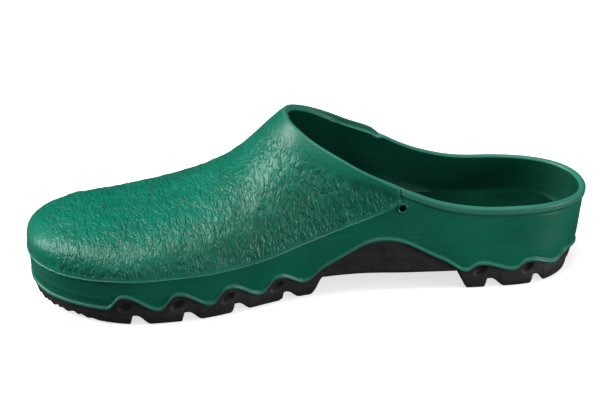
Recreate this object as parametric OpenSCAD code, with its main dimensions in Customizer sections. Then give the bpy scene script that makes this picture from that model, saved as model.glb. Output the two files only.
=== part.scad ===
// Rubber garden clog, right foot. Millimetres, +X to the toe, +Y to the inner (big toe) side,
// +Z up. The origin is on the ground, in the middle of the clog's length and width.
// Every outer and inner surface comes from the same last: a plan outline, a ridge line and a
// section exponent along X, which the functions below turn into rings of points.

/* [Size] */
// Overall length, heel to toe
clog_l = 290; // [250:1:320]
// Overall width at the ball of the foot
ball_w = 108; // [95:1:120]
// Height of the instep edge above the ground
instep_h = 85; // [76:1:95]

/* [Shell] */
// Wall thickness of the upper
wall = 4; // [3:0.5:5]
// How far the rolled edge of the heel opening stands out
lip = 1.2; // [0.5:0.1:2]
// Height of the floor that the footbed lies on
floor_z = 20.5; // [19:0.5:22]
// Height of the plane between the upper and the outsole
split_z = 15.8; // [15.6:0.1:17]

/* [Tread] */
// Distance from lug to lug
pitch = 26.1; // [24:0.1:28]
// Depth of the cuts between the lugs
groove = 5; // [3:0.5:6]
// Height of the arch above the ground
arch_z = 10; // [7:0.5:12]

/* [Side hole] */
// Radius of the hole in the inner side
hole_r = 1.7; // [1.4:0.1:2]
// Radius of the raised ring around it
ring_r = 3; // [2.8:0.1:4]
// Height of the hole above the ground
hole_z = 45.5; // [43:0.1:47]

/* [Footbed] */
// Thickness of the loose footbed
footbed_t = 4; // [3:0.5:5]
// Thickness of the fabric on the footbed
cover_t = 1; // [0.6:0.1:1.5]

/* [Hidden] */

// The tables hold the last at its nominal size; the three sizes above stretch it.
last_l = 290;
last_w = 108.4;
last_h = 84.7;
stretch = [clog_l / (last_l + lip), ball_w / last_w, instep_h / last_h];
tip = last_l / 2;

// Half width, middle line, ridge height and height of the widest level, each as [x, value]
half_width = [[-145, 39.5], [-100, 39], [-60, 39.5], [-25, 41.5], [5, 45], [35, 50], [60, 52],
    [85, 51], [110, 48.5], [145, 43]];
middle = [[-145, -1], [-80, -1], [-45, -3], [-20, -6], [5, -7], [30, -5], [60, 0], [90, 3.5],
    [120, 4], [145, 4]];
ridge_line = [[-145, 108], [-60, 108], [-20, 98], [4, 90], [12, 84.8], [20, 77.4], [30, 67.4],
    [40, 59.8], [52, 54], [65, 49.8], [80, 46.4], [95, 43.8], [110, 42], [145, 40.4]];
widest_level = [[-145, 20], [-80, 20], [-40, 31], [-10, 31], [30, 25], [90, 24], [145, 27]];
// Height of the opening's edge on the inner and on the outer side
collar_in = [[-145, 40], [-106, 41], [-83, 42], [-62, 46], [-45, 52.5], [-40, 55], [-25, 62.5],
    [-10, 70.5], [0, 75.8], [8, 80.8], [15, 84.8]];
collar_out = [[-145, 40], [-106, 41], [-83, 42.5], [-62, 48], [-44, 56.5], [-40, 60], [-25, 65.5],
    [-10, 73.3], [0, 78.4], [8, 82.1], [15, 85]];
collar_front = 15;                  // front end of the opening
// Exponent of the cross section: 2 is an ellipse, larger is boxier
section_n = [[-145, 5], [-60, 5], [-40, 3.2], [-20, 2.2], [0, 1.8], [20, 1.8], [50, 2.1],
    [90, 2.5], [145, 2.6]];
// How far the side wall tucks in between the widest level and the ground
tuck = [[-145, 3], [-90, 2], [-30, 5], [10, 5], [60, 1.5], [100, 2], [145, 3.5]];
// Lower edge of the upper at the toe and over the arch
toe_edge = [[109.4, 7.7], [125, 7.1], [137, 6.5], [145, 6.9]];
arch_edge = [[-75, 11.3], [-60, 18], [-40, 27.8], [-25, 28.3], [-10, 21], [4, 14], [16, 11]];

toe_cap = 88;                       // where the outline starts to close at the toe
heel_cap = -98;                     // and at the heel
cap_n = [2.35, 2.2];                // roundness of the two ends
nose = 112;                         // where the ridge starts to fall to the toe
heel_back = -133;                   // where the last stands up into the heel wall
spring = 4;                         // how far the toe tip is lifted
spring_from = 85;
lean = 0.003;                       // how much the heel wall leans in for each millimetre up
rake = 0.13;                        // how much the heel's back leans out for each millimetre down
rake_level = 40;
tooth_x = 109.4;                    // first tooth of the upper's wavy edge
tooth_z = 7.7;
wave = 7.3;                         // height of the wave
rise_end = 0.3;                     // from tooth to tooth: where the steep rise ends
crest_at = 0.34;                    // the middle of the crest
fall_from = 0.36;                   // and where the long slope down starts
teeth = 9;
cut_at = [0.46, 0.5, 0.66, 0.84];   // from tooth to tooth: the corners of the cut between lugs
heel_z = 9.2;                       // edge of the upper at the heel
heel_wave = 4;
ledge = 4;                          // width of the edge that sits on the outsole
gap = 0.15;                         // clearance between upper and outsole
floor_in = 8.5;                     // how far the floor stays inside the outline
bed_in = 9;                         // the same for the footbed
hole_x = -41.5;
boss_out = 1;                       // how far the ring around the hole stands out
boss_in = 5.2;                      // and how far it reaches into the wall
heel_front = -76;                   // front face of the heel block
arch_front = 4;                     // where the arch starts behind the ball
ramp = 6;                           // length of the slope at each end of the arch
bevel = 0.8;                        // rounding of the footbed's top edge

function cubic(t, i, n, x) = let (
    d = t[i + 1][0] - t[i][0],
    s = (x - t[i][0]) / d,
    m0 = i == 0 ? (t[1][1] - t[0][1]) / d : (t[i + 1][1] - t[i - 1][1]) / (t[i + 1][0] - t[i - 1][0]),
    m1 = i == n - 2 ? (t[i + 1][1] - t[i][1]) / d : (t[i + 2][1] - t[i][1]) / (t[i + 2][0] - t[i][0]))
    (1 + 2 * s) * (1 - s) ^ 2 * t[i][1] + s * (1 - s) ^ 2 * d * m0
    + s * s * (3 - 2 * s) * t[i + 1][1] + s * s * (s - 1) * d * m1;
function place(t, x, i = 0) = i >= len(t) - 2 || x < t[i + 1][0] ? i : place(t, x, i + 1);
// Smooth curve through a table
function curve(t, x) = let (c = min(max(x, t[0][0]), t[len(t) - 1][0]))
    cubic(t, place(t, c), len(t), c);
function clamp01(v) = min(max(v, 0), 1);
function smooth(a, b, x) = let (s = clamp01((x - a) / (b - a))) s * s * (3 - 2 * s);
function quarter(s, n) = (1 - s ^ n) ^ (1 / n);

function cap(x) = quarter(clamp01((x - toe_cap) / (tip - toe_cap)), cap_n[0])
    * quarter(clamp01((heel_cap - x) / (tip + heel_cap)), cap_n[1]);
function width_at(x) = curve(half_width, x) * cap(x);
function ridge_at(x) = let (z = curve(widest_level, x))
    z + (curve(ridge_line, x) - z) * quarter(clamp01((x - nose) / (tip - nose)), 2.1)
    * quarter(clamp01((heel_back - x) / (tip + heel_back)), 5);
// Height of the outer surface over a point of the plan
function top_z(x, y) = let (
    z = curve(widest_level, x),
    n = curve(section_n, x),
    q = clamp01(abs(y - curve(middle, x)) / max(width_at(x), 0.0001)))
    z + (ridge_at(x) - z) * (1 - q ^ n) ^ (1 / n);
function collar_z(x, side) = x > collar_front ? 1000 : curve(side > 0 ? collar_in : collar_out, x);

// Wavy lower edge of the upper
function phase(x) = let (p = (tooth_x - x) / pitch) p - floor(p);
function swell(x) = let (p = phase(x)) smooth(0, rise_end, p) * smooth(1, fall_from, p);
function edge_z(x) = x > tooth_x ? curve(toe_edge, x) : let (
    w = tooth_z + wave * swell(x),
    a = curve(arch_edge, x),
    h = heel_z + heel_wave * swell(x),
    k = smooth(14, -4, x),
    b = smooth(-62, -80, x))
    (w * (1 - k) + a * k) * (1 - b) + h * b;

// Toe spring, the lean of the heel walls and the final size
function settle(p) = let (
    c = curve(middle, p[0]),
    k = 1 - lean * smooth(-15, -50, p[0]) * (p[2] - 20),
    back = rake * smooth(-95, -145, p[0]) * (rake_level - p[2]))
    [(p[0] + lip / 2 + back) * stretch[0], (c + (p[1] - c) * k) * stretch[1],
     (p[2] + spring * max((p[0] - spring_from) / 60, 0) ^ 2) * stretch[2]];

// Stations along the clog: round ends, and a fixed set of places on each wave
function stations(phases) = concat(
    [for (k = [0:6]) tooth_x + (tip - tooth_x) * cos(90 * k / 7)],
    [for (p = [0:teeth - 1], f = phases) tooth_x - pitch * (p + f)],
    let (x = tooth_x - pitch * teeth) [for (k = [0:5]) x - (tip + x) * sin(90 * k / 5)]);
upper_x = stations([0, 0.13, crest_at, cut_at[2]]);
sole_x = stations(concat([0, 0.13, crest_at], cut_at));
// The outsole follows the straight steps of the upper's edge
edge_steps = [for (x = upper_x) [x, edge_z(x)]];

// A ring runs along the inner side to the heel and back along the outer side
function ring(xs) = let (m = len(xs)) concat(
    [for (x = xs) [x, curve(middle, x) + width_at(x), 1]],
    [for (k = [m - 2:-1:1]) [xs[k], curve(middle, xs[k]) - width_at(xs[k]), -1]]);
function unit(v) = v / norm(v);
function normals(r) = let (n = len(r)) [for (i = [0:n - 1]) let (
    a = r[(i + n - 1) % n], b = r[(i + 1) % n]) unit([b[1] - a[1], a[0] - b[0]])];
upper_ring = ring(upper_x);
sole_ring = ring(sole_x);
upper_n = normals(upper_ring);
sole_n = normals(sole_ring);

// A ring of points moved in from the outline, at heights given by a list
function inset(r, n, d, z) = [for (i = [0:len(r) - 1])
    [r[i][0] - n[i][0] * d[i], r[i][1] - n[i][1] * d[i], z[i]]];
function same(r, v) = [for (p = r) v];
function tucked(x, z) = let (w = curve(widest_level, x))
    curve(tuck, x) * max((w - z) / w, 0) ^ 1.6;

// Places on the way from an outline point to the middle of the opening
function aim(p) = let (x = 0.35 * p[0] - 70) [x, curve(middle, x)];
function along(p, t, s) = [p[0] + (t[0] - p[0]) * s, p[1] + (t[1] - p[1]) * s];
function cut_s(p, t, a, b, k) = k == 0 ? b : let (
    s = (a + b) / 2, q = along(p, t, s))
    top_z(q[0], q[1]) >= collar_z(q[0], p[2]) ? cut_s(p, t, a, s, k - 1) : cut_s(p, t, s, b, k - 1);
function climb(p, t, s) = let (q = along(p, t, s))
    top_z(q[0], q[1]) - curve(widest_level, p[0]) + 0.7 * s * norm([t[0] - p[0], t[1] - p[1]]);
function level_s(p, t, goal, a, b, k) = k == 0 ? b : let (s = (a + b) / 2)
    climb(p, t, s) >= goal ? level_s(p, t, goal, a, s, k - 1) : level_s(p, t, goal, s, b, k - 1);

dome_rows = 11;
steps = 26;
// Rows of the outer surface from the widest level up to the opening
function dome_column(p) = let (
    t = aim(p),
    c = cut_s(p, t, 0, 1, steps),
    top = climb(p, t, c))
    [for (j = [0:dome_rows]) j == 0 ? [p[0], p[1], curve(widest_level, p[0])] : let (
        q = along(p, t, level_s(p, t, top * j / dome_rows, 0, c, steps)))
        [q[0], q[1], top_z(q[0], q[1])]];
columns = [for (p = upper_ring) dome_column(p)];
dome = [for (j = [0:dome_rows]) [for (c = columns) c[j]]];

function grid_normal(g, j, i) = let (
    n = len(g[0]),
    a = g[j][(i + 1) % n] - g[j][(i + n - 1) % n],
    b = g[min(j + 1, len(g) - 1)][i] - g[max(j - 1, 0)][i])
    unit(cross(a, b));
function side_z(j, i) = let (x = upper_ring[i][0], e = edge_z(x))
    e + (curve(widest_level, x) - e) * j / 3;
side_rows = [for (j = [0:2]) let (z = [for (i = [0:len(upper_ring) - 1]) side_z(j, i)])
    inset(upper_ring, upper_n, [for (i = [0:len(z) - 1]) tucked(upper_ring[i][0], z[i])], z)];
// The heel part of the opening has a rolled edge, the vamp's edge is plain
function rolled(j, i) = j == dome_rows ? lip * smooth(-38, -44, dome[j][i][0]) : 0;
outer_rows = concat(side_rows, [for (j = [0:dome_rows]) [for (i = [0:len(upper_ring) - 1])
    dome[j][i] + grid_normal(dome, j, i) * rolled(j, i)]]);
function edge_row(angle) = let (j = dome_rows) [for (i = [0:len(upper_ring) - 1]) let (
    n = grid_normal(dome, j, i),
    t = unit(dome[j][i] - dome[j - 1][i]),
    h = (wall + rolled(j, i)) / 2)
    dome[j][i] + n * (rolled(j, i) - h + h * cos(angle)) + t * h * sin(angle)];
inner_rows = [for (j = [dome_rows:-1:1]) [for (i = [0:len(upper_ring) - 1])
    dome[j][i] - grid_normal(dome, j, i) * (wall + (j == 1 ? 1 : 0))]];
upper_edges = [for (p = upper_ring) edge_z(p[0])];
upper_rings = concat(
    [inset(upper_ring, upper_n, same(upper_ring, ledge), same(upper_ring, split_z)),
     inset(upper_ring, upper_n, same(upper_ring, ledge), upper_edges)],
    outer_rows,
    [for (a = [45, 90, 135]) edge_row(a)],
    inner_rows,
    [inset(upper_ring, upper_n, same(upper_ring, floor_in), same(upper_ring, floor_z))]);

// Closed body through a pile of rings; each end is closed with strips from side to side
module skin(rings) {
    n = len(rings[0]);
    m = n / 2;
    last = (len(rings) - 1) * n;
    walls = [for (j = [0:len(rings) - 2], i = [0:n - 1], half = [0, 1]) let (
        a = j * n + i, b = j * n + (i + 1) % n)
        half == 0 ? [a, a + n, b] : [b, a + n, b + n]];
    strips = [for (k = [0:m - 1], half = [0, 1]) let (a = k, b = k + 1, c = n - k - 1, d = (n - k) % n)
        half == 0 ? [a, b, c] : [a, c, d]];
    base = [for (f = strips) if (f[0] != f[1] && f[1] != f[2] && f[0] != f[2]) f];
    top = [for (f = base) [f[2] + last, f[1] + last, f[0] + last]];
    polyhedron([for (r = rings, p = r) settle(p)], concat(walls, base, top), convexity = 8);
}

hole_at = settle([hole_x, curve(middle, hole_x) + width_at(hole_x), hole_z]) - [0, 0.3, 0];

module upper() {
    color("#197259")
        difference() {
            union() {
                skin(upper_rings);
                translate(hole_at - [0, boss_in, 0]) rotate([-90, 0, 0])
                    cylinder(r = ring_r, h = boss_in + boss_out, $fn = 48);
            }
            translate(hole_at - [0, boss_in + 4, 0]) rotate([-90, 0, 0])
                cylinder(r = hole_r, h = boss_in + boss_out + 8, $fn = 48);
        }
}

// Underside of the outsole: lugs on the ground, cuts between them and a raised arch
function lugged(x) = let (p = phase(x))
    x > tooth_x + 0.16 * pitch || p <= cut_at[0] || p >= cut_at[3] ? 0
    : groove * min((p - cut_at[0]) / (cut_at[1] - cut_at[0]),
        (cut_at[3] - p) / (cut_at[3] - cut_at[2]), 1);
function arched(x) = arch_z * min(clamp01((arch_front - x) / ramp), clamp01((x - heel_front) / ramp));
columns_q = [1, 0.5, 0.42, 0.12, 0.06, -0.06, -0.12, -0.42, -0.5, -1];
function tread_z(x, q) = max(arched(x),
    lugged(x) * (abs(q) > 0.45 ? 1 : 0.6),
    abs(q) < 0.1 && x < tooth_x && x > -120 ? 3 : 0);

function sole_edge(x) = lookup(x, edge_steps) - gap;
sole_edges = [for (p = sole_ring) sole_edge(p[0])];
sole_foot = inset(sole_ring, sole_n, [for (p = sole_ring) curve(tuck, p[0])],
    [for (p = sole_ring) tread_z(p[0], 1)]);
core = [for (z = sole_edges) z > split_z - gap ? ledge - gap : ledge + gap];
sole_rings = [sole_foot,
    inset(sole_ring, sole_n, [for (i = [0:len(sole_ring) - 1])
        0.8 + tucked(sole_ring[i][0], sole_edges[i])], sole_edges),
    inset(sole_ring, sole_n, core, sole_edges),
    inset(sole_ring, sole_n, core, same(sole_ring, split_z - gap))];

module outsole() {
    n = len(sole_ring);
    m = n / 2;
    nq = len(columns_q);
    count = len(sole_rings) * n;
    last = (len(sole_rings) - 1) * n;
    // Inner points of the underside, between the two ends of each station
    under = [for (k = [1:m - 1], c = [1:nq - 2]) let (
        a = sole_foot[k], b = sole_foot[n - k],
        s = (1 - columns_q[c]) / 2,
        x = a[0] + (b[0] - a[0]) * s)
        [x, a[1] + (b[1] - a[1]) * s, tread_z(sole_x[k], columns_q[c])]];
    function at(k, c) = k == 0 ? 0 : k == m ? m : c == 0 ? k : c == nq - 1 ? n - k
        : count + (k - 1) * (nq - 2) + c - 1;
    walls = [for (j = [0:len(sole_rings) - 2], i = [0:n - 1], half = [0, 1]) let (
        a = j * n + i, b = j * n + (i + 1) % n)
        half == 0 ? [a, a + n, b] : [b, a + n, b + n]];
    top = [for (k = [0:m - 1], half = [0, 1]) let (a = k, b = k + 1, c = n - k - 1, d = (n - k) % n)
        half == 0 ? [c, b, a] : [d, c, a]];
    base = [for (k = [0:m - 1], c = [0:nq - 2], half = [0, 1]) let (
        p = at(k, c), q = at(k + 1, c), r = at(k + 1, c + 1), s = at(k, c + 1))
        half == 0 ? [p, q, r] : [p, r, s]];
    faces = concat(walls, base, [for (f = top) [for (v = f) v + last]]);
    color("#2e2d2f")
        polyhedron([for (p = concat([for (r = sole_rings, p = r) p], under)) settle(p)],
            [for (f = faces) if (f[0] != f[1] && f[1] != f[2] && f[0] != f[2]) f], convexity = 8);
}

// The footbed lies loose on the floor, clear of the walls all round
bed_x = stations([0, 0.5]);
bed_ring = ring(bed_x);
bed_n = normals(bed_ring);
bed_z = floor_z + 0.3;
function cup(d, z) = inset(bed_ring, bed_n, same(bed_ring, d), same(bed_ring, z));
module footbed() {
    color("#0c4738")
        skin([cup(bed_in + 1, bed_z), cup(bed_in, bed_z + 1), cup(bed_in, bed_z + footbed_t - bevel),
            cup(bed_in + bevel, bed_z + footbed_t)]);
}
module footbed_cover() {
    z = bed_z + footbed_t + 0.02;
    color("#08382a")
        skin([cup(bed_in + 1.2, z), cup(bed_in + 1.2, z + cover_t * 0.6), cup(bed_in + 1.6, z + cover_t)]);
}

upper();
outsole();
footbed();
footbed_cover();
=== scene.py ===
"""Rubber garden clog, right foot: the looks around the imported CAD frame.

The clog is drawn in millimetres of the last's nominal size, from the same tables as the CAD,
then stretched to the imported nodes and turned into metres.
"""
import math

import bpy
import numpy as np
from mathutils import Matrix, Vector, noise


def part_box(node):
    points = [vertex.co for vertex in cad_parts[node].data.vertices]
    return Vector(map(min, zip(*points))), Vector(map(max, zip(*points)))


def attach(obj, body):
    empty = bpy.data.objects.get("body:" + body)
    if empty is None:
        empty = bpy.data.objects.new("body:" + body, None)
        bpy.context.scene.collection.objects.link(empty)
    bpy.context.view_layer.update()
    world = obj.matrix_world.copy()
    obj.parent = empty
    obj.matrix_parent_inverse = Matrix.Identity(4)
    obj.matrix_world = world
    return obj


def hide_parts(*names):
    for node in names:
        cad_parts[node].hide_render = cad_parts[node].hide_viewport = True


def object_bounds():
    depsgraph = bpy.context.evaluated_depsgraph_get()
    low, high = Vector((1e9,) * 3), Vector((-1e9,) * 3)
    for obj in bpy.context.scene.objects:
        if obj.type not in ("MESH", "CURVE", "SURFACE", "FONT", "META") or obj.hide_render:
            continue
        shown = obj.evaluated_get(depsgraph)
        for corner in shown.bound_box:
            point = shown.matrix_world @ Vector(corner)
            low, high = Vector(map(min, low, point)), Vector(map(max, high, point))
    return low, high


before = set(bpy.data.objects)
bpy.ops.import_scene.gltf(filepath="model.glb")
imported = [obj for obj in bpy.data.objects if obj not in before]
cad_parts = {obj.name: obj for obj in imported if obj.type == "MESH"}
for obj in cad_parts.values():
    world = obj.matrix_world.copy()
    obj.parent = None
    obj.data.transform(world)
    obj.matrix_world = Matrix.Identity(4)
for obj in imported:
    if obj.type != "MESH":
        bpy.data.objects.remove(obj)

cad_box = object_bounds()
low, high = (np.array(v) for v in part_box("upper"))

# ---------------------------------------------------------------- the last
LAST_L, LAST_W, LAST_H = 290.0, 108.4, 84.7
LIP = 1.2
TIP = LAST_L / 2
STRETCH = (high - low) * 1000 / np.array([LAST_L + LIP, LAST_W, 1.0])
STRETCH[2] = high[2] * 1000 / LAST_H

HALF_WIDTH = [(-145, 39.5), (-100, 39), (-60, 39.5), (-25, 41.5), (5, 45), (35, 50), (60, 52),
              (85, 51), (110, 48.5), (145, 43)]
MIDDLE = [(-145, -1), (-80, -1), (-45, -3), (-20, -6), (5, -7), (30, -5), (60, 0), (90, 3.5),
          (120, 4), (145, 4)]
RIDGE = [(-145, 108), (-60, 108), (-20, 98), (4, 90), (12, 84.8), (20, 77.4), (30, 67.4),
         (40, 59.8), (52, 54), (65, 49.8), (80, 46.4), (95, 43.8), (110, 42), (145, 40.4)]
WIDEST = [(-145, 20), (-80, 20), (-40, 31), (-10, 31), (30, 25), (90, 24), (145, 27)]
COLLAR_IN = [(-145, 40), (-106, 41), (-83, 42), (-62, 46), (-45, 52.5), (-40, 55), (-25, 62.5),
             (-10, 70.5), (0, 75.8), (8, 80.8), (15, 84.8)]
COLLAR_OUT = [(-145, 40), (-106, 41), (-83, 42.5), (-62, 48), (-44, 56.5), (-40, 60), (-25, 65.5),
              (-10, 73.3), (0, 78.4), (8, 82.1), (15, 85)]
COLLAR_FRONT = 15
SECTION = [(-145, 5), (-60, 5), (-40, 3.2), (-20, 2.2), (0, 1.8), (20, 1.8), (50, 2.1),
           (90, 2.5), (145, 2.6)]
TUCK = [(-145, 3), (-90, 2), (-30, 5), (10, 5), (60, 1.5), (100, 2), (145, 3.5)]
TOE_EDGE = [(109.4, 7.7), (125, 7.1), (137, 6.5), (145, 6.9)]
ARCH_EDGE = [(-75, 11.3), (-60, 18), (-40, 27.8), (-25, 28.3), (-10, 21), (4, 14), (16, 11)]
# Height of the line between the grained vamp and the smooth side band
SEAM = [(-145, 60), (-60, 54), (-41, 48.9), (-37, 46), (-16, 39.2), (5, 32.8), (29, 27),
        (52, 25), (80, 24.6), (107, 23.9), (130, 21.9), (145, 21.3)]
TOE_CAP, HEEL_CAP, CAP_N = 88, -98, (2.35, 2.2)
NOSE, HEEL_BACK, NOSE_N, HEEL_N = 112, -133, 2.1, 5
SPRING, SPRING_FROM, SPRING_RUN = 4, 85, 60
LEAN, LEAN_LEVEL = 0.003, 20
RAKE, RAKE_LEVEL = 0.13, 40
TOOTH_X, TOOTH_Z, WAVE, PITCH = 109.4, 7.7, 7.3, 26.1
RISE_END, CREST_AT, FALL_FROM = 0.30, 0.34, 0.36
HEEL_Z, HEEL_WAVE = 9.2, 4
WALL, VAMP_WALL, RIM_WALL, STEP_DOWN = 4.0, 2.9, 2.9, 2.0
LEDGE, SPLIT_Z, FLOOR_IN, FLOOR_Z = 4.0, 15.8, 8.5, 20.5
HOLE_X, HOLE_Z, HOLE_R, RING_R = -41.5, 45.5, 1.7, 2.9
HEEL_FRONT, ARCH_FRONT, ARCH_Z, ARCH_RAMP = -76, 4, 10, 6
GROOVE, MID_GROOVE, CHANNEL = 4.8, 3.2, 2.8
TEETH = 9
# Clearance between upper and outsole, at the core and at the wavy edge
CORE_GAP, EDGE_GAP = 0.15, 0.12
BED_IN, BED_Z, BED_T = 9.0, 20.8, 4.0


def curve(table, x):
    """Smooth curve through a table of (x, value)."""
    xs, ys = np.array(table, float).T
    m = np.empty(len(xs))
    m[0], m[-1] = (ys[1] - ys[0]) / (xs[1] - xs[0]), (ys[-1] - ys[-2]) / (xs[-1] - xs[-2])
    m[1:-1] = (ys[2:] - ys[:-2]) / (xs[2:] - xs[:-2])
    x = np.clip(x, xs[0], xs[-1])
    i = np.clip(np.searchsorted(xs, x, side="right") - 1, 0, len(xs) - 2)
    d = xs[i + 1] - xs[i]
    s = (x - xs[i]) / d
    return ((1 + 2 * s) * (1 - s) ** 2 * ys[i] + s * (1 - s) ** 2 * d * m[i]
            + s * s * (3 - 2 * s) * ys[i + 1] + s * s * (s - 1) * d * m[i + 1])


def smooth(a, b, x):
    s = np.clip((x - a) / (b - a), 0, 1)
    return s * s * (3 - 2 * s)


def quarter(s, n):
    return (1 - np.clip(s, 0, 1) ** n) ** (1 / n)


def bump(d, width):
    return np.exp(-(d / width) ** 2)


def cap(x):
    return (quarter((x - TOE_CAP) / (TIP - TOE_CAP), CAP_N[0])
            * quarter((HEEL_CAP - x) / (TIP + HEEL_CAP), CAP_N[1]))


def half_width(x):
    return curve(HALF_WIDTH, x) * cap(x)


def top_z(x, y):
    """Height of the outer surface over a point of the plan."""
    z, n = curve(WIDEST, x), curve(SECTION, x)
    ridge = z + ((curve(RIDGE, x) - z) * quarter((x - NOSE) / (TIP - NOSE), NOSE_N)
                 * quarter((HEEL_BACK - x) / (TIP + HEEL_BACK), HEEL_N))
    q = np.clip(np.abs(y - curve(MIDDLE, x)) / np.maximum(half_width(x), 1e-4), 0, 1)
    return z + (ridge - z) * (1 - q ** n) ** (1 / n)


def collar_z(x, side):
    z = np.where(side > 0, curve(COLLAR_IN, x), curve(COLLAR_OUT, x))
    return np.where(x > COLLAR_FRONT, 1000.0, z)


def phase(x):
    return np.mod((TOOTH_X - x) / PITCH, 1)


def swell(x):
    p = phase(x)
    return smooth(0, RISE_END, p) * smooth(1, FALL_FROM, p)


def edge_z(x):
    """The wavy lower edge of the upper."""
    k, b = smooth(14, -4, x), smooth(-62, -80, x)
    wavy = (TOOTH_Z + WAVE * swell(x)) * (1 - k) + curve(ARCH_EDGE, x) * k
    back = wavy * (1 - b) + (HEEL_Z + HEEL_WAVE * swell(x)) * b
    return np.where(x > TOOTH_X, curve(TOE_EDGE, x), back)


def settle(p):
    """Toe spring, the lean of the heel wall and the final size, in metres."""
    x, y, z = p[..., 0], p[..., 1], p[..., 2]
    c = curve(MIDDLE, x)
    k = 1 - LEAN * smooth(-15, -50, x) * (z - LEAN_LEVEL)
    spring = SPRING * np.maximum((x - SPRING_FROM) / SPRING_RUN, 0) ** 2
    rake = RAKE * smooth(-95, -145, x) * (RAKE_LEVEL - z)
    return np.stack([x + LIP / 2 + rake, c + (y - c) * k, z + spring], -1) * STRETCH / 1000


def ring(count, fine_at=None, fine=0.0, reach=4.0):
    """Points round the outline, along the inner side to the heel and back, closer near fine_at."""
    x = TIP * np.cos(np.linspace(0, math.pi, 12001))
    sides = []
    for side in (1, -1):
        y = curve(MIDDLE, x) + side * half_width(x)
        step = np.hypot(np.diff(x), np.diff(y))
        if fine_at is not None:
            step = step * (1 + fine * bump(x[1:] - fine_at, reach))
        run = np.concatenate([[0], np.cumsum(step)])
        at = np.linspace(0, run[-1], count // 2 + 1)
        sides.append(np.stack([np.interp(at, run, x), np.interp(at, run, y),
                               np.full(len(at), side)], -1))
    return np.concatenate([sides[0], sides[1][-2:0:-1]])


def ring_normals(r):
    d = np.roll(r, 1, 0) - np.roll(r, -1, 0)
    n = np.stack([-d[:, 1], d[:, 0]], -1)
    return n / np.linalg.norm(n, axis=1, keepdims=True)


def inset(r, n, d, z):
    """The ring moved in by d, at height z."""
    d, z = np.broadcast_to(d, len(r)), np.broadcast_to(z, len(r))
    return np.stack([r[:, 0] - n[:, 0] * d, r[:, 1] - n[:, 1] * d, z], -1)


def tucked(x, z):
    w = curve(WIDEST, x)
    return curve(TUCK, x) * (np.maximum(w - z, 0) / w) ** 1.6


def grid_normals(g):
    """Outward normals of a grid of rows of points."""
    a = np.roll(g, -1, 1) - np.roll(g, 1, 1)
    b = np.gradient(g, axis=0)
    n = np.cross(a, b)
    return n / np.maximum(np.linalg.norm(n, axis=2, keepdims=True), 1e-9)


def grain_noise(points, scale, seed):
    """Smooth noise from -1 to 1 at each point, with its own scale along each axis."""
    p = points / np.array(scale) + seed
    flat = [noise.noise(Vector(v)) for v in p.reshape(-1, 3)]
    return np.array(flat).reshape(points.shape[:-1])


# ---------------------------------------------------------------- mesh building
def add_mesh(name, verts, faces, marks=None):
    mesh = bpy.data.meshes.new(name)
    mesh.from_pydata(verts.tolist(), [], faces)
    mesh.validate()
    for key, values in (marks or {}).items():
        layer = mesh.attributes.new(key, "FLOAT", "POINT")
        layer.data.foreach_set("value", np.asarray(values, np.float32))
    mesh.polygons.foreach_set("use_smooth", [True] * len(mesh.polygons))
    mesh.update()
    obj = bpy.data.objects.new(name, mesh)
    bpy.context.scene.collection.objects.link(obj)
    return obj


def wall_faces(rows, n):
    """Quads between stacked rings of n points."""
    j, i = np.meshgrid(np.arange(rows - 1), np.arange(n), indexing="ij")
    a, b = j * n + i, j * n + (i + 1) % n
    return np.stack([a, a + n, b + n, b], -1).reshape(-1, 4).tolist()


def lid_faces(start, n, up):
    """Strips from side to side that close a ring of n points."""
    m, out = n // 2, []
    for k in range(m):
        f = [start + v for v in (k, k + 1, n - k - 1, (n - k) % n)]
        f = list(dict.fromkeys(f))
        out.append(f[::-1] if up else f)
    return out


# ---------------------------------------------------------------- upper
COLUMNS = 640
SEGMENTS = 64
NOTCH_X = -40.6
FLANGE = [0, 0.25, 0.6, 1.0, 1.4, 1.8, 2.2, 2.7, 3.3]
BAND_ROWS, VAMP_ROWS = 14, 84
SEAM_ROWS = [-1.0, -0.5, -0.25, 0, 0.25, 0.5, 1.0]
RIM_ROWS = [2.7, 2.2, 1.6, 0.9, 0.3, 0]
INNER_ROWS = 14
outline = ring(COLUMNS, NOTCH_X, 3.0)
outline_n = ring_normals(outline)
side = outline[:, 2]


def profile(i):
    """Dense points of one column of the outer surface, from the lower edge to the opening."""
    x, y, s = outline[i]
    w, e = float(curve(WIDEST, x)), float(edge_z(x))
    z = np.linspace(e, w, 60)[:-1]
    d = tucked(x, z)
    lower = np.stack([x - outline_n[i, 0] * d, y - outline_n[i, 1] * d, z], -1)
    tx = 0.35 * x - 70
    ty = float(curve(MIDDLE, tx))
    u = np.linspace(0, 1, 900) ** 2
    px, py = x + (tx - x) * u, y + (ty - y) * u
    pz = top_z(px, py)
    over = pz - collar_z(px, s)
    cut = int(np.argmax(over >= 0))
    f = over[cut - 1] / (over[cut - 1] - over[cut]) if collar_z(px[cut - 1], s) < 900 else 0.5
    upper = np.stack([px, py, pz], -1)[:cut]
    last = upper[-1] + (np.array([px[cut], py[cut], pz[cut]]) - upper[-1]) * f
    return np.concatenate([lower, upper, [last]])


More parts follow.
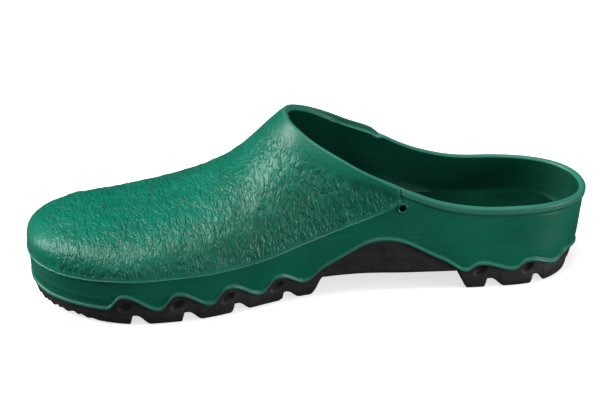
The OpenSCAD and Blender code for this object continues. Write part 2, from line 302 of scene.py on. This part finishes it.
def place_rows(p):
    """Distances along a column at which its rows lie."""
    run = np.concatenate([[0], np.cumsum(np.linalg.norm(np.diff(p, axis=0), axis=1))])
    total = run[-1]
    above = p[:, 2] - curve(SEAM, p[:, 0])
    hit = int(np.argmax(above >= 0)) if (above >= 0).any() else len(p) - 1
    seam = float(np.clip(run[hit], FLANGE[-1] + 2.2, total - 3.0))
    rows = list(FLANGE)
    rows += list(np.linspace(FLANGE[-1], seam + SEAM_ROWS[0], BAND_ROWS + 2)[1:-1])
    rows += [seam + v for v in SEAM_ROWS]
    rows += list(np.linspace(seam + SEAM_ROWS[-1], total - RIM_ROWS[0], VAMP_ROWS + 2)[1:-1])
    rows += [total - v for v in RIM_ROWS]
    rows = np.array(rows)
    pos = np.stack([np.interp(rows, run, p[:, k]) for k in range(3)], -1)
    return pos, rows, seam, total


placed = [place_rows(profile(i)) for i in range(COLUMNS)]
base = np.stack([p[0] for p in placed], 1)
run = np.stack([p[1] for p in placed], 1)
seam_at = np.array([p[2] for p in placed])[None]
total = np.array([p[3] for p in placed])[None]
normal = grid_normals(base)
X, Y, Z = base[..., 0], base[..., 1], base[..., 2]
to_edge = total - run
quarter_part = smooth(NOTCH_X + 0.5, NOTCH_X - 0.5, X)
front = 1 - quarter_part
above_seam = run - seam_at

flange = smooth(0.0, 0.5, run + 0.12) * (1 - smooth(1.4, 2.2, run))
lift = 0.9 * flange
seam_on = smooth(NOTCH_X, NOTCH_X + 3, X)
lift += seam_on * (0.55 * bump(above_seam, 0.33) + 0.25 * smooth(-0.5, 0.2, above_seam)
                   * (1 - smooth(3, 9, above_seam)))
toe_line = smooth(100, 118, X) * bump(Z - 13.2, 0.6)
lift += 0.3 * toe_line
rim = quarter_part * (1 - smooth(2.1, 2.9, to_edge))
lift += 0.75 * rim - 0.1 * quarter_part * bump(to_edge - 3.3, 0.6)
crease = bump(X - NOTCH_X, 0.55) * smooth(-0.5, 0.8, above_seam)
lift += 0.7 * front * smooth(NOTCH_X + 16, NOTCH_X + 2, X) * smooth(-0.3, 0.5, above_seam)
lift -= 0.9 * crease
plain_edge = 6 + 8 * smooth(-30, 5, X)
grained = front * smooth(0.6, 3.0, above_seam) * smooth(2, plain_edge, to_edge)
grained *= 1 - 0.7 * smooth(126, 140, X)
soft = 0.8 * grain_noise(base, (6, 12, 11), 3.7) + grain_noise(base, (3.2, 7.5, 6.5), 9.1)
lift += 0.34 * soft * grained
lift += 0.10 * grain_noise(base, (16, 30, 9), 21.3) * (1 - flange) * (1 - grained)
outer = base + normal * lift[..., None]

ahead = smooth(NOTCH_X - 14, NOTCH_X + 14, X)
thick = WALL + (VAMP_WALL - WALL) * ahead * (1 - smooth(0, 14, to_edge))
thick += 0.9 * smooth(-25, 5, X) * (1 - smooth(0, 14, to_edge))
thick += (RIM_WALL - WALL) * (1 - ahead) * (1 - smooth(8, 26, to_edge))
top_n, top_t = normal[-1], base[-1] - base[-4]
top_t /= np.linalg.norm(top_t, axis=1, keepdims=True)
rim_wall = thick[-1] + lift[-1]
stepped = (side < 0) * smooth(NOTCH_X - 6, NOTCH_X, X[-1]) * smooth(8, -26, X[-1])
step_down = STEP_DOWN * stepped
# Inward and upward places across the edge: a plain round, and a thin lip above a ledge
ROUND = [(0.5 - 0.5 * math.cos(a), 0.4 * math.sin(a)) for a in np.radians(range(15, 180, 15))]
STEPPED = [(0.05, 0.25), (0.12, 0.38), (0.22, 0.42), (0.32, 0.3), (0.38, 0.0), (0.40, -0.4),
           (0.43, -0.8), (0.52, -1.0), (0.68, -0.98), (0.84, -1.0), (0.95, -1.12)]
rim_rows = []
for plain, lip_at in zip(ROUND, STEPPED):
    inward = rim_wall * (plain[0] * (1 - stepped) + lip_at[0] * stepped)
    upward = rim_wall * plain[1] * (1 - stepped) + lip_at[1] * step_down
    rim_rows.append(outer[-1] - top_n * inward[:, None] + top_t * upward[:, None])

inner_at = np.linspace(0, 1, INNER_ROWS) ** 1.25
inner_rows = []
low_run = np.array([np.interp(curve(WIDEST, outline[i, 0]) + 0.6, Z[:, i], run[:, i])
                    for i in range(COLUMNS)])
for f in inner_at:
    at = total[0] - 1.2 * step_down
    at += (low_run - at) * f
    row = np.empty((COLUMNS, 3))
    for i in range(COLUMNS):
        q = np.array([np.interp(at[i], run[:, i], base[:, i, k]) for k in range(3)])
        m = np.array([np.interp(at[i], run[:, i], normal[:, i, k]) for k in range(3)])
        t = np.interp(at[i], run[:, i], thick[:, i]) + (1.0 if f == 1 else 0)
        row[i] = q - m / np.linalg.norm(m) * t
    inner_rows.append(row)
turn_z = FLOOR_Z + 1.2
floor_rows = [inset(outline, outline_n, FLOOR_IN - 1.6, turn_z),
              inset(outline, outline_n, FLOOR_IN, FLOOR_Z)]

edge_row = edge_z(outline[:, 0])
under_rows = [inset(outline, outline_n, LEDGE, SPLIT_Z),
              inset(outline, outline_n, LEDGE, edge_row),
              inset(outline, outline_n, tucked(outline[:, 0], edge_row) + 0.6, edge_row - 0.05)]
stack = under_rows + list(outer) + rim_rows + inner_rows + floor_rows
verts = settle(np.concatenate(stack))
n_rows = len(stack)
faces = wall_faces(n_rows, COLUMNS)
faces += lid_faces(0, COLUMNS, up=False) + lid_faces((n_rows - 1) * COLUMNS, COLUMNS, up=True)
n_in = COLUMNS * (len(inner_rows) + len(floor_rows))
n_rim = COLUMNS * len(rim_rows)
n_under = COLUMNS * len(under_rows)


def mark(values, inside=0.0, lip=0.0):
    """One value for each point of the upper: under, outer, edge and inner rows."""
    return np.concatenate([np.zeros(n_under), np.asarray(values).ravel(),
                           np.full(n_rim, lip), np.full(n_in, inside)])


upper = add_mesh("clog_upper", verts, faces, {
    "grain": mark(grained),
    # inside: marks the inner rows, which the material paints with darker shade
    "inside": mark(np.zeros(base.shape[:2]), inside=1.0),
    # ridge: painted highlight, a lighter green along the flange, the quarter's rim, the seam bead and
    # the lip of the opening
    "ridge": mark(np.clip(flange + rim + 0.9 * front * bump(above_seam, 0.4), 0, 1), lip=1.0),
})


def rebuilt(obj):
    """Turns the object's modifiers into its mesh."""
    graph = bpy.context.evaluated_depsgraph_get()
    mesh = bpy.data.meshes.new_from_object(obj.evaluated_get(graph))
    obj.modifiers.clear()
    obj.data = mesh


def lathe(name, outline_rh, at):
    """Closed solid turned round the Y axis at a point; outline_rh holds (radius, height) in mm."""
    rings = [(r, h) for r, h in outline_rh if r > 0]
    a = np.linspace(0, 2 * math.pi, SEGMENTS, endpoint=False)
    pts = [np.stack([r * np.cos(a), np.full(SEGMENTS, h), r * np.sin(a)], -1) for r, h in rings]
    pts = np.concatenate(pts) / 1000 + at
    quads = wall_faces(len(rings), SEGMENTS)
    first = list(range(SEGMENTS))
    last = [(len(rings) - 1) * SEGMENTS + v for v in first]
    quads = [q[::-1] for q in quads] + [first[::-1], last]
    return add_mesh(name, pts, quads)


def carve(obj, tool, operation):
    mod = obj.modifiers.new("carve", "BOOLEAN")
    mod.operation, mod.object, mod.solver = operation, tool, "MANIFOLD"
    rebuilt(obj)
    bpy.data.objects.remove(tool)


BOSS = [(RING_R - 0.3, -2.2), (RING_R, -1.6), (RING_R, 0.2), (RING_R - 0.1, 0.6),
        (RING_R - 0.35, 0.85), (RING_R - 0.65, 0.85), (RING_R - 0.95, 0.55), (HOLE_R - 0.1, 0.2)]
wall_y = curve(MIDDLE, HOLE_X) + half_width(HOLE_X)
hole_at = settle(np.array([HOLE_X, float(wall_y), HOLE_Z]))
carve(upper, lathe("boss", BOSS, hole_at), "UNION")
carve(upper, lathe("bore", [(HOLE_R, -8), (HOLE_R, 4)], hole_at), "DIFFERENCE")
upper.data.polygons.foreach_set("use_smooth", [True] * len(upper.data.polygons))
upper.data.set_sharp_from_angle(angle=math.radians(55))

# ---------------------------------------------------------------- outsole
SOLE_COLUMNS = 1100
WALL_ROWS = 18
ACROSS = 44
TREAD_HALF = 0.45
sole_ring = ring(SOLE_COLUMNS)
sole_n = ring_normals(sole_ring)
TOE_NUBS_FROM, NUB_PITCH, NUB_CUT = 114, 7.6, 1.9
# A slanting pit under each crest of the wave
PIT_Z, PIT_SLANT, PIT_WIDE, PIT_HIGH, PIT_DEPTH = 9.8, 0.7, 2.9, 2.2, 2.4


def arch(x):
    return ARCH_Z * np.minimum(smooth(ARCH_FRONT, ARCH_FRONT - ARCH_RAMP, x),
                               smooth(HEEL_FRONT, HEEL_FRONT + ARCH_RAMP, x))


def cuts(x, q):
    """Depth of the cuts between the lugs: steep behind each lug, sloping down to the next."""
    p = phase(x + 2.5 * (1 - np.abs(q)))
    side_cut = GROOVE * np.minimum(smooth(0.43, 0.49, p), 1 - smooth(0.56, 0.85, p))
    mid = phase(x - PITCH * 0.5 + 5 * np.abs(q))
    mid_cut = MID_GROOVE * np.minimum(smooth(0.40, 0.47, mid), 1 - smooth(0.62, 0.82, mid))
    outside = smooth(TREAD_HALF - 0.02, TREAD_HALF + 0.02, np.abs(q))
    cut = side_cut * outside + mid_cut * (1 - outside)
    channel = CHANNEL * bump(np.abs(q) - TREAD_HALF, 0.045)
    ahead = 1 - smooth(TOOTH_X + 2, TOOTH_X + 6, x)
    return np.maximum(cut, channel) * ahead


def tread(x, y, q):
    nubs = NUB_CUT * smooth(TOE_NUBS_FROM, TOE_NUBS_FROM + 6, x)
    nubs = nubs * (0.5 - 0.5 * np.cos(2 * math.pi * y / NUB_PITCH)) ** 0.5
    return np.maximum(arch(x), cuts(x, q)) + nubs


sx, sy = sole_ring[:, 0], sole_ring[:, 1]
sole_top = edge_z(sx) - EDGE_GAP
foot_z = np.minimum(tread(sx, sy, 1.0), sole_top - 1.5)
wall_t = np.linspace(0, 1, WALL_ROWS)
crest_x = [TOOTH_X - PITCH * (k + CREST_AT) for k in range(TEETH)]
sole_rows = []
for t in wall_t:
    z = foot_z + (sole_top - foot_z) * t
    d = tucked(sx, z) + 0.55
    d += 0.9 * np.maximum(0, 1 - (z - foot_z) / 1.1) ** 2
    lug = 1 - smooth(0.6, 2.5, cuts(sx, 1.0))
    d -= 0.45 * lug * np.sin(math.pi * np.clip(z / 9, 0, 1))
    for c in crest_x:
        if c > 0 or c < HEEL_FRONT:
            pit = (((sx - c + PIT_SLANT * (z - PIT_Z)) / PIT_WIDE) ** 2
                   + ((z - PIT_Z) / PIT_HIGH) ** 2)
            d += PIT_DEPTH * (1 - smooth(0.2, 1.3, pit))
    sole_rows.append(inset(sole_ring, sole_n, d, z))
core = np.where(sole_top > SPLIT_Z - CORE_GAP, LEDGE - CORE_GAP, LEDGE + CORE_GAP)
sole_rows += [inset(sole_ring, sole_n, core, sole_top),
              inset(sole_ring, sole_n, core, SPLIT_Z - CORE_GAP)]

m = SOLE_COLUMNS // 2
q_at = np.linspace(1, -1, ACROSS + 2)[1:-1]
foot = sole_rows[0]
a, b = foot[1:m], foot[:m:-1]
mid = a[:, None] + (b - a)[:, None] * ((1 - q_at) / 2)[None, :, None]
mid[..., 2] = tread(mid[..., 0], mid[..., 1], q_at[None])
n_s = SOLE_COLUMNS
count = len(sole_rows) * n_s


def under_at(k, c):
    if k in (0, m):
        return k
    return k if c == 0 else n_s - k if c == ACROSS + 1 else count + (k - 1) * ACROSS + c - 1


sole_faces = wall_faces(len(sole_rows), n_s)
for k in range(m):
    for c in range(ACROSS + 1):
        f = [under_at(k, c), under_at(k + 1, c), under_at(k + 1, c + 1), under_at(k, c + 1)]
        sole_faces.append(list(dict.fromkeys(f)))
sole_faces += lid_faces((len(sole_rows) - 1) * n_s, n_s, up=True)
sole_verts = settle(np.concatenate(sole_rows + [mid.reshape(-1, 3)]))
outsole = add_mesh("clog_outsole", sole_verts, sole_faces)
outsole.data.set_sharp_from_angle(angle=math.radians(50))

# ---------------------------------------------------------------- footbed and its cover
BED_COLUMNS, BED_ACROSS = 420, 40
bed_ring = ring(BED_COLUMNS)
bed_n = ring_normals(bed_ring)


def slab(name, rows, relief=None):
    """A flat piece inside the outline: rings of (inset, height), closed above by a fine grid."""
    rings = [inset(bed_ring, bed_n, d, z) for d, z in rows]
    half_n = BED_COLUMNS // 2
    rim_ring = rings[-1]
    q = np.linspace(1, -1, BED_ACROSS + 2)[1:-1]
    pa, pb = rim_ring[1:half_n], rim_ring[:half_n:-1]
    grid = pa[:, None] + (pb - pa)[:, None] * ((1 - q) / 2)[None, :, None]
    if relief is not None:
        grid[..., 2] += relief(grid, q)
    start, total_n = (len(rings) - 1) * BED_COLUMNS, len(rings) * BED_COLUMNS

    def at(k, c):
        if k in (0, half_n):
            return start + k
        if c in (0, BED_ACROSS + 1):
            return start + (k if c == 0 else BED_COLUMNS - k)
        return total_n + (k - 1) * BED_ACROSS + c - 1

    quads = wall_faces(len(rings), BED_COLUMNS) + lid_faces(0, BED_COLUMNS, up=False)
    for k in range(half_n):
        for c in range(BED_ACROSS + 1):
            f = [at(k, c), at(k, c + 1), at(k + 1, c + 1), at(k + 1, c)]
            quads.append(list(dict.fromkeys(f)))
    return add_mesh(name, settle(np.concatenate(rings + [grid.reshape(-1, 3)])), quads)


def pressed(grid, q):
    """The foot's shallow print, and a pressed line inside the cover's edge."""
    x, y = grid[..., 0], grid[..., 1]
    room = half_width(x) - BED_IN - np.abs(y - curve(MIDDLE, x))
    print_depth = -0.25 * smooth(6, 16, room)
    line = -0.25 * bump(room - 4.5, 0.8)
    return print_depth + line


bed_top = BED_Z + BED_T
footbed = slab("clog_footbed", [(BED_IN + 1, BED_Z), (BED_IN + 0.3, BED_Z + 0.3),
                                (BED_IN, BED_Z + 1), (BED_IN, bed_top - 1.2),
                                (BED_IN + 0.25, bed_top - 0.4), (BED_IN + 0.9, bed_top)])
cover_z = bed_top + 0.02
cover = slab("clog_footbed_cover", [(BED_IN + 1.3, cover_z), (BED_IN + 1.1, cover_z + 0.35),
                                    (BED_IN + 1.3, cover_z + 0.75), (BED_IN + 1.9, cover_z + 0.95)],
             relief=pressed)


# ---------------------------------------------------------------- materials
class Nodes:
    """Short ways to add and link shader nodes."""

    def __init__(self, name):
        self.mat = bpy.data.materials.new(name)
        self.mat.use_nodes = True
        self.tree = self.mat.node_tree
        self.shader = self.tree.nodes["Principled BSDF"]

    def add(self, kind, inputs=None, **settings):
        node = self.tree.nodes.new(kind)
        for key, value in settings.items():
            setattr(node, key, value)
        for key, value in (inputs or {}).items():
            if isinstance(value, bpy.types.NodeSocket):
                self.tree.links.new(value, node.inputs[key])
            else:
                node.inputs[key].default_value = value
        return node

    def math(self, op, a, b=0.0):
        return self.add("ShaderNodeMath", {0: a, 1: b}, operation=op).outputs[0]

    def ramp(self, value, lo, hi, to_lo=0.0, to_hi=1.0):
        node = self.add("ShaderNodeMapRange", {"Value": value, "From Min": lo, "From Max": hi,
                                               "To Min": to_lo, "To Max": to_hi},
                        interpolation_type="SMOOTHSTEP")
        return node.outputs["Result"]

    def mix(self, factor, a, b):
        node = self.add("ShaderNodeMix", data_type="RGBA")
        for key, value in ((0, factor), (6, a), (7, b)):
            if isinstance(value, bpy.types.NodeSocket):
                self.tree.links.new(value, node.inputs[key])
            else:
                node.inputs[key].default_value = value
        return node.outputs[2]

    def place(self, scale, warp=0.0, warp_scale=1.0):
        """Object coordinates in millimetres over a scale, pushed about by noise."""
        co = self.add("ShaderNodeTexCoord").outputs["Object"]
        if warp:
            push = self.add("ShaderNodeTexNoise", {"Vector": co, "Scale": warp_scale, "Detail": 1.0})
            shift = self.add("ShaderNodeVectorMath", {0: push.outputs["Color"], 1: (0.5, 0.5, 0.5)},
                             operation="SUBTRACT").outputs[0]
            shift = self.add("ShaderNodeVectorMath", {0: shift, "Scale": warp},
                             operation="SCALE").outputs[0]
            co = self.add("ShaderNodeVectorMath", {0: co, 1: shift}, operation="ADD").outputs[0]
        return self.add("ShaderNodeVectorMath", {0: co, 1: tuple(1000 / v for v in scale)},
                        operation="MULTIPLY").outputs[0]

    def noise(self, scale, detail=2.0, warp=0.0, warp_scale=1.0, roughness=0.5):
        node = self.add("ShaderNodeTexNoise", {"Vector": self.place(scale, warp, warp_scale),
                                               "Scale": 1.0, "Detail": detail,
                                               "Roughness": roughness})
        return node.outputs["Fac"]

    def cells(self, scale, warp, warp_scale):
        node = self.add("ShaderNodeTexVoronoi", {"Vector": self.place(scale, warp, warp_scale),
                                                 "Scale": 1.0}, feature="DISTANCE_TO_EDGE")
        return node.outputs["Distance"]

    def attribute(self, name):
        return self.add("ShaderNodeAttribute", attribute_name=name).outputs["Fac"]

    def bump(self, height, distance):
        inputs = {"Height": height, "Distance": distance, "Strength": 1.0}
        return self.add("ShaderNodeBump", inputs).outputs["Normal"]

    def finish(self, color, roughness, normal, **fixed):
        for key, value in (("Base Color", color), ("Roughness", roughness), ("Normal", normal)):
            if isinstance(value, bpy.types.NodeSocket):
                self.tree.links.new(value, self.shader.inputs[key])
            elif value is not None:
                self.shader.inputs[key].default_value = value
        for key, value in fixed.items():
            self.shader.inputs[key.replace("_", " ")].default_value = value
        return self.mat


def rgb(r, g, b):
    """Linear colour."""
    return (r, g, b, 1.0)


def green_rubber():
    n = Nodes("green_rubber")
    grain, inside, ridge = (n.attribute(k) for k in ("grain", "inside", "ridge"))
    wrinkle = n.noise((2.9, 8.0, 7.0), 1.0, 0.0032, 120)
    crease = n.ramp(n.math("ABSOLUTE", n.math("SUBTRACT", wrinkle, 0.5)), 0.0, 0.07)
    fold = n.noise((2.1, 5.6, 5.0), 2.0, 0.0024, 160, 0.55)
    pebble = n.ramp(n.cells((2.6, 4.8, 5.0), 0.0026, 190), 0.0, 0.32)
    patch = n.noise((14, 16, 14), 2.0)
    depth = n.ramp(patch, 0.3, 0.7, 0.6, 1.0)
    height = n.math("ADD", n.math("MULTIPLY", crease, 0.30), n.math("MULTIPLY", fold, 1.5))
    height = n.math("ADD", height, n.math("MULTIPLY", pebble, 0.22))
    height = n.math("MULTIPLY", n.math("MULTIPLY", height, depth), grain)
    smooth_part = n.math("SUBTRACT", 1.0, grain)
    streak = n.noise((16, 16, 0.9), 3.0, 0.0012, 60)
    orange = n.noise((0.8, 0.8, 0.8), 1.0)
    brushed = n.math("ADD", n.math("MULTIPLY", streak, 0.13), n.math("MULTIPLY", orange, 0.03))
    height = n.math("ADD", height, n.math("MULTIPLY", brushed, smooth_part))
    normal = n.bump(height, 0.0009)

    vary = n.noise((26, 26, 20), 2.0)
    color = n.mix(n.ramp(vary, 0.3, 0.7), rgb(0.0004, 0.150, 0.092), rgb(0.0010, 0.190, 0.120))
    # Painted shade: darker green in the grooves of the grain, which are also made a little rougher
    crease_shade = n.math("MULTIPLY", n.math("SUBTRACT", 1.0, crease), n.math("MULTIPLY", grain, 0.35))
    color = n.mix(crease_shade, color, rgb(0.0008, 0.060, 0.038))
    color = n.mix(n.math("MULTIPLY", n.ramp(streak, 0.35, 0.65, 0.0, 0.12), smooth_part), color,
                  rgb(0.001, 0.105, 0.066))
    # Painted highlight: lighter green where the ridge mark lies, on the flange, rim, lip and seam bead
    color = n.mix(n.math("MULTIPLY", ridge, 0.5), color, rgb(0.075, 0.30, 0.225))
    # Painted shade: the inside of the clog is a darker copy of the same green rubber
    color = n.mix(n.math("MULTIPLY", inside, 0.8), color, rgb(0.0003, 0.042, 0.024))
    rough = n.ramp(patch, 0.25, 0.75, 0.31, 0.39)
    rough = n.math("ADD", rough, n.math("MULTIPLY", crease_shade, 0.35))
    rough = n.math("ADD", rough, n.math("MULTIPLY", inside, 0.1))
    return n.finish(color, rough, normal, Specular_IOR_Level=0.4)


def black_rubber():
    n = Nodes("black_rubber")
    fine = n.noise((0.5, 0.5, 0.5), 3.0)
    broad = n.noise((9, 9, 5), 3.0)
    scuff = n.ramp(n.noise((3.5, 3.5, 1.2), 4.0, 0.002, 200), 0.52, 0.72)
    height = n.math("ADD", n.math("MULTIPLY", fine, 0.35), n.math("MULTIPLY", broad, 0.5))
    normal = n.bump(height, 0.00035)
    color = n.mix(n.ramp(broad, 0.3, 0.7), rgb(0.024, 0.0234, 0.0252), rgb(0.042, 0.041, 0.0435))
    color = n.mix(n.math("MULTIPLY", scuff, 0.35), color, rgb(0.075, 0.073, 0.077))
    rough = n.ramp(fine, 0.3, 0.7, 0.5, 0.64)
    return n.finish(color, rough, normal, Specular_IOR_Level=0.45)


def foam():
    n = Nodes("foam")
    cell = n.cells((0.7, 0.7, 0.7), 0.0004, 900)
    vary = n.noise((12, 12, 6), 2.0)
    color = n.mix(n.ramp(vary, 0.3, 0.7), rgb(0.010, 0.055, 0.036), rgb(0.014, 0.072, 0.047))
    return n.finish(color, n.ramp(vary, 0.3, 0.7, 0.78, 0.9), n.bump(cell, 0.0003),
                    Specular_IOR_Level=0.3)


def fabric():
    n = Nodes("cover_fabric")
    knit_a = n.add("ShaderNodeTexWave", {"Vector": n.place((1.0, 1.0, 1.0)), "Scale": 0.5,
                                         "Distortion": 0.6, "Detail": 1.0},
                   wave_type="BANDS", bands_direction="X").outputs["Fac"]
    knit_b = n.add("ShaderNodeTexWave", {"Vector": n.place((1.0, 1.0, 1.0)), "Scale": 0.42,
                                         "Distortion": 0.9, "Detail": 1.0},
                   wave_type="BANDS", bands_direction="Y").outputs["Fac"]
    fuzz = n.noise((0.35, 0.35, 0.35), 2.0)
    height = n.math("ADD", n.math("MULTIPLY", knit_a, knit_b), n.math("MULTIPLY", fuzz, 0.6))
    vary = n.noise((20, 14, 10), 3.0)
    color = n.mix(n.ramp(vary, 0.3, 0.7), rgb(0.0004, 0.024, 0.014), rgb(0.0008, 0.040, 0.023))
    # Painted highlight: the raised loops of the knit are lighter
    color = n.mix(n.math("MULTIPLY", n.ramp(height, 0.3, 1.2), 0.4), color,
                  rgb(0.0015, 0.052, 0.032))
    return n.finish(color, n.ramp(fuzz, 0.3, 0.7, 0.85, 0.95), n.bump(height, 0.0003),
                    Specular_IOR_Level=0.05)


PIECES = [(upper, "upper", "upper_rubber", "shell", green_rubber),
          (outsole, "outsole", "outsole_rubber", "shell", black_rubber),
          (footbed, "footbed", "footbed_foam", "loose_footbed", foam),
          (cover, "footbed_cover", "cover_fabric", "loose_footbed", fabric)]
for obj, node, slot, body, make in PIECES:
    obj.data.materials.clear()
    obj.data.materials.append(make())
    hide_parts(node)
    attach(obj, body)


# ---------------------------------------------------------------- studio
floor_mesh = bpy.data.meshes.new("floor")
FLOOR_HALF = 4.0
floor_mesh.from_pydata([(-FLOOR_HALF, -FLOOR_HALF, 0), (FLOOR_HALF, -FLOOR_HALF, 0),
                        (FLOOR_HALF, FLOOR_HALF, 0), (-FLOOR_HALF, FLOOR_HALF, 0)], [], [(0, 1, 2, 3)])
floor = bpy.data.objects.new("floor", floor_mesh)
bpy.context.scene.collection.objects.link(floor)
paper = Nodes("paper")
fibre = paper.noise((40, 40, 40), 2.0)
paper.finish(paper.mix(paper.ramp(fibre, 0.3, 0.7), rgb(0.90, 0.90, 0.90), rgb(0.92, 0.92, 0.92)),
             0.9, None, Specular_IOR_Level=0.1)
# The floor throws less light back at the clog than it shows, as a table cut away from under it
dull = paper.add("ShaderNodeBsdfDiffuse", {"Color": rgb(0.09, 0.09, 0.09)})
for key, value in (("Emission Color", rgb(1.0, 1.0, 1.0)), ("Emission Strength", 0.7)):
    paper.shader.inputs[key].default_value = value
blend = paper.add("ShaderNodeMixShader", {0: paper.add("ShaderNodeLightPath").outputs["Is Camera Ray"],
                                          1: dull.outputs[0], 2: paper.shader.outputs[0]})
paper.tree.links.new(blend.outputs[0], paper.tree.nodes["Material Output"].inputs["Surface"])
floor.data.materials.append(paper.mat)

scene = bpy.context.scene
scene.view_settings.view_transform = "Standard"
SKY_HIGH, SKY_FRONT, SKY_SEEN = 0.22, 0.34, 0.92
world = bpy.data.worlds.new("studio")
scene.world = world
world.use_nodes = True
sky = world.node_tree
up = sky.nodes.new("ShaderNodeSeparateXYZ")
sky.links.new(sky.nodes.new("ShaderNodeTexCoord").outputs["Generated"], up.inputs[0])
levels = []
for axis, start, full, gain in (("Z", 0.5, 0.95, SKY_HIGH), ("Y", 0.0, 0.8, SKY_FRONT)):
    fade = sky.nodes.new("ShaderNodeMapRange")
    for key, value in (("From Min", start), ("From Max", full), ("To Max", gain)):
        fade.inputs[key].default_value = value
    sky.links.new(up.outputs[axis], fade.inputs["Value"])
    levels.append(fade.outputs["Result"])
glow = sky.nodes.new("ShaderNodeMath")
for i, level in enumerate(levels):
    sky.links.new(level, glow.inputs[i])
seen = sky.nodes.new("ShaderNodeMix")
sky.links.new(sky.nodes.new("ShaderNodeLightPath").outputs["Is Camera Ray"], seen.inputs["Factor"])
sky.links.new(glow.outputs[0], seen.inputs["A"])
seen.inputs["B"].default_value = SKY_SEEN
sky.links.new(seen.outputs["Result"], sky.nodes["Background"].inputs["Strength"])
sky.nodes["Background"].inputs["Color"].default_value = rgb(1.0, 1.0, 1.0)

body_mid = Vector((cad_box[0][i] + cad_box[1][i]) / 2 for i in range(3))


def area_light(name, place, power, size, aim=(0, 0, 0)):
    data = bpy.data.lights.new(name, "AREA")
    data.energy, data.shape = power, "RECTANGLE"
    data.size, data.size_y = size
    lamp = bpy.data.objects.new(name, data)
    lamp.location = body_mid + Vector(place)
    lamp.rotation_euler = (Vector(aim) - Vector(place)).to_track_quat("-Z", "Y").to_euler()
    scene.collection.objects.link(lamp)


area_light("overhead", (0.0, 0.18, 1.25), 5.4, (0.6, 0.6))
area_light("left", (0.85, -0.2, 0.88), 14.0, (0.85, 0.6))
area_light("toe", (1.1, -0.35, 0.36), 4.5, (0.5, 0.4))
area_light("right", (-1.0, 0.5, 0.10), 4.8, (0.5, 0.25))

CAMERA_AT = (0.1523, 0.905, 0.437)
AIM_AT = (0.0055, 0.0, 0.034)
camera_data = bpy.data.cameras.new("camera")
camera_data.lens, camera_data.sensor_width = 117, 36
camera = bpy.data.objects.new("camera", camera_data)
camera.location = CAMERA_AT
camera.rotation_euler = (Vector(AIM_AT) - Vector(CAMERA_AT)).to_track_quat("-Z", "Y").to_euler()
scene.collection.objects.link(camera)
scene.camera = camera
